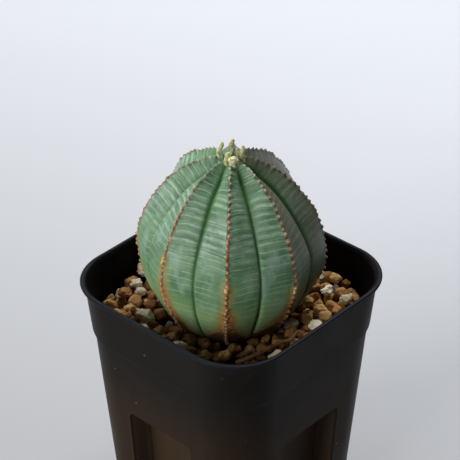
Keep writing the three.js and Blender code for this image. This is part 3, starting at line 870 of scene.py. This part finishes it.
def add_stem():
    """The ribbed stem with its crest bumps, creases and buried root."""
    rng = np.random.default_rng(11)
    rows, crest, out, buried = stem_rows()
    angle, share, rib, flank = stem_columns()
    hand = np.where(flank % 2 == 0, 1, -1)
    half_width = np.maximum(crest[:, :1], 0.5) * math.pi / RIBS
    from_crest = share * half_width

    inset = flank_inset(rows, share, rib, half_width)
    scar = raise_bumps(rng, inset, rows, buried, rib, hand, from_crest)
    knob = bell(rows - CORK_START[rib] - 0.8, 1.6) * bell(from_crest, 0.8)
    inset += slow_waves(rng, rows, angle) - KNOB_HEIGHT * knob
    radius = np.maximum(crest[:, :1] - out[:, :1] * inset, 0.05)
    height = crest[:, 1:] - out[:, 1:] * inset
    ring = np.stack([radius * np.cos(angle), radius * np.sin(angle), height], -1)
    apex, root = (lean([0, 0, z]) for z in (CREST[0][1], CREST[-1][1] - 0.3))
    points, faces = closed_rings(lean(ring), apex, root)

    numbers = {
        "rib": share,
        "along": rows,
        "flank": flank,
        "scar": scar,
        "crest": bell(from_crest, 0.62) * ease(rows, 3, 10),
        "cork": cork_cover(rows, rib, from_crest),
        "knob": knob,
        # Painted shade in the grooves.
        "groove": groove_shade(rows, angle, (1 - share) * half_width),
        # How much suntan and painted shade each place takes, on the side away from the window light; behind sets
        # how grey-purple it turns.
        "sun": tan_and_shade_side(rows, angle, hand),
        "behind": ease(np.cos(angle - math.radians(115)), 0.2, 0.95),
    }
    for key, value in numbers.items():
        value = np.broadcast_to(value, inset.shape)
        numbers[key] = np.concatenate([[value[0, 0]], value.ravel(), [value[-1, 0]]])
    add_piece("stem_body", points, faces, stem_material(), ["stem"], numbers)


# ---- Flower stalks ----

JOINT_LENGTH = 1.75
STALK_COLUMNS = 32


def stalk_axis(name):
    """A CAD stalk's foot, tip, the way from one to the other and its greatest radius."""
    points = np.array([v.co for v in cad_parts[name].data.vertices]) / MM
    low = points[points[:, 2] < points[:, 2].min() + 0.9].mean(0)
    tip = points[points[:, 2].argmax()]
    along = (tip - low) / np.linalg.norm(tip - low)
    off = points - low
    return low, tip, along, np.linalg.norm(off - (off @ along)[:, None] * along, axis=1).max()


def add_flower_stalk(k, name, material):
    """A lumpy stalk of swollen joints with little bracts, from the CAD stalk's foot to its tip."""
    rng = np.random.default_rng(40 + k)
    low, tip, along, girth = stalk_axis(name)
    foot = low - 0.5 * along
    side = np.cross(along, [0, 1, 0])
    side /= np.linalg.norm(side)
    front = np.cross(side, along)
    middle = (foot + tip) / 2 + 0.25 * rng.normal(size=3) * [1, 1, 0]
    line, run = smooth_line([foot, middle, tip], 80)
    share = run / run[-1]
    joints = max(2, round(run[-1] / JOINT_LENGTH))
    phase = share * joints + rng.uniform(0, 0.3)
    swelling = np.sin(math.pi * (phase % 1)) ** 0.8
    fat = girth * (0.74 + 0.24 * ease(share, 0.35, 0.75))
    radius = fat * (0.78 + 0.22 * swelling) * np.sqrt(np.clip(1 - share**7, 0.015, 1))
    angles = np.linspace(0, 2 * math.pi, STALK_COLUMNS, endpoint=False)
    turn = np.floor(phase) * 2.4
    bract = np.cos(2 * (angles - turn[:, None])) * 0.13 * swelling[:, None]
    ripple = 0.05 * np.sin(5 * angles + 11 * share[:, None])
    ripple += 0.04 * np.sin(9 * angles - 21 * share[:, None])
    sway = 0.16 * np.sin(math.pi * phase + rng.uniform(0, 6.3))
    line = line + sway[:, None] * side + 0.7 * sway[::-1, None] * front * (1 - share[:, None])
    ring = tube_rings(line, side[None], front[None], radius[:, None] * (1 + bract + ripple), angles)
    points, faces = closed_rings(ring[::-1, ::-1], line[-1] + 0.05 * along, line[0] - 0.1 * along)
    knuckle = (1 - swelling[::-1]) ** 1.5
    numbers = {
        "tip": np.concatenate([[1], np.repeat(share[::-1], STALK_COLUMNS), [0]]),
        "knuckle": np.concatenate([[0], np.repeat(knuckle, STALK_COLUMNS), [1]]),
    }
    add_piece(f"bud_{name}", points, faces, material, [name], numbers)


# ---- Grit ----

CELL, MAP_HALF = 0.4, 36.0  # of the height map
FRONT = math.radians(-47.5)  # the way to the front corner, in radians
BED_MIDDLE, BED_FALL = 78.2, 0.03  # the bed's mean height, and its fall in each mm towards the front
HOLLOW_AT, HOLLOW_DEPTH, HOLLOW_WIDE = 23, 2.8, 8  # the dip in the bed in front of the stem
WHITE_GROW, BROWN_GROW = 1.2, 1.08  # how much larger the loose stones are than in CAD
GRAINS_IN_PIECE = 120
GRAIN_TILT = 0.35  # radians


def wall_clearance(x, y, half):
    """How far inside a rounded square a place is, in mm."""
    radius = half * CORNER_RATIO
    past_x, past_y = abs(x) - half + radius, abs(y) - half + radius
    return radius - math.hypot(max(past_x, 0), max(past_y, 0)) - min(max(past_x, past_y), 0)


STEM_LINE = smooth_line(CREST, 300)[0]
STEM_SIDE = STEM_LINE[STEM_LINE[:, 1] < 10][::-1]


def stem_radius(z):
    """The stem's radius at a height, below its widest."""
    return float(np.interp(z - RIM, STEM_SIDE[:, 1], STEM_SIDE[:, 0]))


class Bed:
    """Grains dropped one by one, each rolling to a low place on the heights below it."""

    def __init__(self, floor):
        n = int(2 * MAP_HALF / CELL) + 1
        self.height = np.full((n, n), float(floor))

    def cell(self, x, y):
        """The map cell that (x, y) is in."""
        return int(round((x + MAP_HALF) / CELL)), int(round((y + MAP_HALF) / CELL))

    def top(self, x, y):
        """The highest of the cells round (x, y)."""
        i, j = self.cell(x, y)
        return self.height[i - 1 : i + 2, j - 1 : j + 2].max()

    def patch(self, x, y, radius):
        """The cells near a grain, its round profile in each from 0 to 1, and which are under it."""
        reach = int(radius / CELL) + 1
        i, j = self.cell(x, y)
        i0, i1 = max(i - reach, 0), min(i + reach + 1, len(self.height))
        j0, j1 = max(j - reach, 0), min(j + reach + 1, len(self.height))
        dx = np.arange(i0, i1) * CELL - MAP_HALF - x
        dy = np.arange(j0, j1) * CELL - MAP_HALF - y
        away = (dx[:, None] ** 2 + dy[None, :] ** 2) / radius**2
        return (slice(i0, i1), slice(j0, j1)), np.sqrt(np.clip(1 - away, 0, 1)), away < 1

    def rest(self, x, y, radius, tall):
        """The height of a grain's middle when it lies at (x, y), or None if it doesn't fit there."""
        if wall_clearance(x, y, COLLAR_BASE - WALL) < radius:
            return None
        where, profile, under = self.patch(x, y, radius)
        if not under.any():
            return None
        z = float((self.height[where] + tall * profile)[under].max())
        if math.hypot(x - STEM_FOOT[0], y - STEM_FOOT[1]) < stem_radius(z) + radius * 0.92:
            return None
        return z

    def mark(self, x, y, z, radius, tall):
        """Raises the map under a grain that stays where it is."""
        where, profile, under = self.patch(x, y, radius)
        top = np.where(under, z + tall * profile, -1e9)
        self.height[where] = np.maximum(self.height[where], top)

    def drop(self, x, y, radius, tall):
        """Rolls a grain down from (x, y) to where it lies lowest."""
        z = self.rest(x, y, radius, tall)
        for step in (1.2, 0.6, 0.3):
            moved = True
            while moved:
                moved = False
                for t in np.arange(8) * math.pi / 4:
                    nx, ny = x + step * math.cos(t), y + step * math.sin(t)
                    nz = self.rest(nx, ny, radius, tall)
                    if nz is not None and (z is None or nz < z - 0.02):
                        x, y, z, moved = nx, ny, nz, True
        return x, y, z

    def pour(self, rng, radii, flatness, reach, above, tries):
        """Drops grains until tries of them have ended too high over the bed, and returns the rest."""
        kept = []
        while tries:
            radius = rng.uniform(*radii)
            tall = radius * rng.uniform(*flatness)
            x, y, z = self.drop(*rng.uniform(-reach, reach, 2), radius, tall)
            if z is None or z + tall > bed_height(x, y) + above:
                tries -= 1
                continue
            self.mark(x, y, z, radius, tall)
            kept.append((x, y, z, radius, tall))
        return kept


def bed_height(x, y):
    """The mean top of the bed under the loose stones: it falls towards the front corner."""
    across, deep = math.cos(FRONT), math.sin(FRONT)
    away = math.hypot(x - HOLLOW_AT * across, y - HOLLOW_AT * deep)
    hollow = HOLLOW_DEPTH * bell(away, HOLLOW_WIDE)
    return BED_MIDDLE - BED_FALL * (x * across + y * deep) - hollow


def icosphere(detail):
    """The points and faces of a ball of radius 1."""
    ball = bmesh.new()
    bmesh.ops.create_icosphere(ball, subdivisions=detail, radius=1.0)
    points = np.array([v.co for v in ball.verts])
    faces = np.array([[v.index for v in f.verts] for f in ball.faces])
    ball.free()
    return points, faces


BALLS = {detail: icosphere(detail) for detail in (4, 5)}


def grain_shape(rng, detail):
    """An angular grain that fills a box of half size 1: a ball cut by planes, softened and pitted."""
    directions, faces = BALLS[detail]
    planes, crispness = 13, 10
    cuts = rng.normal(size=(planes, 3))
    cuts /= np.linalg.norm(cuts, axis=1)[:, None]
    reach = rng.uniform(0.70, 1.0, planes)
    lean_in = np.maximum(directions @ cuts.T, 1e-3) / reach
    radius = (lean_in**crispness).sum(1) ** (-1 / crispness)
    radius = np.minimum(radius, 1.25)
    for scale, amount in ((3.0, 0.05), (7.0, 0.03), (15.0, 0.016), (27.0, 0.009)):
        for wave in rng.normal(size=(5, 3)):
            wave = wave / np.linalg.norm(wave) * scale
            radius = radius * (1 + amount * np.sin(directions @ wave + rng.uniform(0, 6.3)))
    points = directions * radius[:, None]
    low, high = points.min(0), points.max(0)
    return (points - (low + high) / 2) / ((high - low) / 2), faces


def turned(points, half, rng):
    """A unit grain scaled to half sizes and turned about the upright, with a little tilt."""
    spin = Matrix.Rotation(rng.uniform(0, 2 * math.pi), 3, "Z")
    rock = Matrix.Rotation(rng.uniform(-GRAIN_TILT, GRAIN_TILT), 3, "X")
    return (points * half) @ np.array(spin @ rock).T


def add_stone(rng, bed, name, material):
    """A CAD stone in detail, at its own place."""
    low, high = node_box(name)
    middle, half = (low + high) / 2, (high - low) / 2
    bed.mark(*middle, (half[0] + half[1]) / 2, half[2])
    points, faces = grain_shape(rng, 5)
    white = name.startswith("white")
    slot, grow = ("white_grit", WHITE_GROW) if white else ("brown_grit", BROWN_GROW)
    numbers = {"tone": np.full(len(points), rng.uniform(0, 1)), "pale": np.full(len(points), float(white))}
    points = points * half * grow + middle
    add_piece(f"grain_{name}", points, faces.tolist(), material, [name], numbers)


def add_fill(rng, part, grains, material):
    """Some of the small grains as one piece. The first piece stands for the CAD's bed."""
    points, faces, tones, pales, count = [], [], [], [], 0
    for x, y, z, radius, tall in grains:
        shape, shape_faces = grain_shape(rng, 4)
        wide = radius * rng.uniform(0.98, 1.12)
        half = np.array([wide, radius * rng.uniform(0.82, 0.96), tall])
        points.append(turned(shape, half, rng) + [x, y, z])
        faces.append(shape_faces + count)
        count += len(shape)
        tones.append(np.full(len(shape), rng.uniform(0, 1)))
        pales.append(np.full(len(shape), 1.0 if rng.uniform() < 0.1 else 0.0))
    points, faces = np.vstack(points), np.vstack(faces).tolist()
    numbers = {"tone": np.concatenate(tones), "pale": np.concatenate(pales)}
    replaced = ["gravel_bed"] if part == 1 else []
    add_piece(f"grit_fill_{part}", points, faces, material, replaced, numbers)


def add_grit():
    """The small grains under the CAD stones, the stones, and the small grains between them."""
    rng = np.random.default_rng(5)
    material = grit_material()
    bed = Bed(SOIL_TOP + 0.1)
    fill = bed.pour(rng, (1.8, 2.9), (0.72, 0.95), 33, 0.5, 260)
    for name in NODES:
        if "_stone_" in name:
            add_stone(rng, bed, name, material)
    fill += bed.pour(rng, (1.6, 3.0), (0.7, 0.95), 34, 2.7, 420)
    for part, start in enumerate(range(0, len(fill), GRAINS_IN_PIECE), 1):
        add_fill(rng, part, fill[start : start + GRAINS_IN_PIECE], material)
    return bed


# ---- Dry stalk ----

# Where it lies, seen from above.
DRY_ROUTE = [(20.6, -21), (21.5, -19.5), (22.6, -14), (23.4, -9.2), (24, -4.2), (25.3, -1), (25.2, 2.4)]


def add_dry_stalk(bed):
    """A thin withered stalk that lies over the grit and curls up at its end."""
    flat, run = smooth_line(DRY_ROUTE, 70)
    share = run / run[-1]
    under = np.array([bed.top(x, y) for x, y in flat])
    straight = np.polyval(np.polyfit(share, under, 1), share)
    lift = max((under - straight)[5:60].max(), 0) * 0.6
    z = straight + lift + 0.2 + 1.4 * ease(share, 0.8, 1.0)
    line = np.column_stack([flat, z])
    along = np.gradient(line, axis=0)
    along /= np.linalg.norm(along, axis=1)[:, None]
    side = np.cross(along, [0, 0, 1])
    side /= np.linalg.norm(side, axis=1)[:, None]
    up = np.cross(side, along)
    radius = 0.72 - 0.3 * share + 0.06 * np.sin(share * 40)
    radius = radius * np.sqrt(np.clip(1 - (2 * share - 1) ** 30, 0.05, 1))
    angles = np.linspace(0, 2 * math.pi, 14, endpoint=False)
    ridges = 1 + 0.12 * np.sin(4 * angles + 3 * share[:, None])
    ring = tube_rings(line, side, up, radius[:, None] * ridges, angles)
    points, faces = closed_rings(ring, line[0], line[-1])
    add_piece("withered_stalk", points, faces, dry_material(), ["dry_stalk"])


# ---- Scene ----

add_camera()
add_stage()
add_pot()
add_stem()
stalk_skin = stalk_material()
for k, name in enumerate(n for n in NODES if n.startswith("flower_stalk_")):
    add_flower_stalk(k, name, stalk_skin)
add_dry_stalk(add_grit())

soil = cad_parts["potting_soil"]
soil.data.materials.clear()
soil.data.materials.append(soil_material())
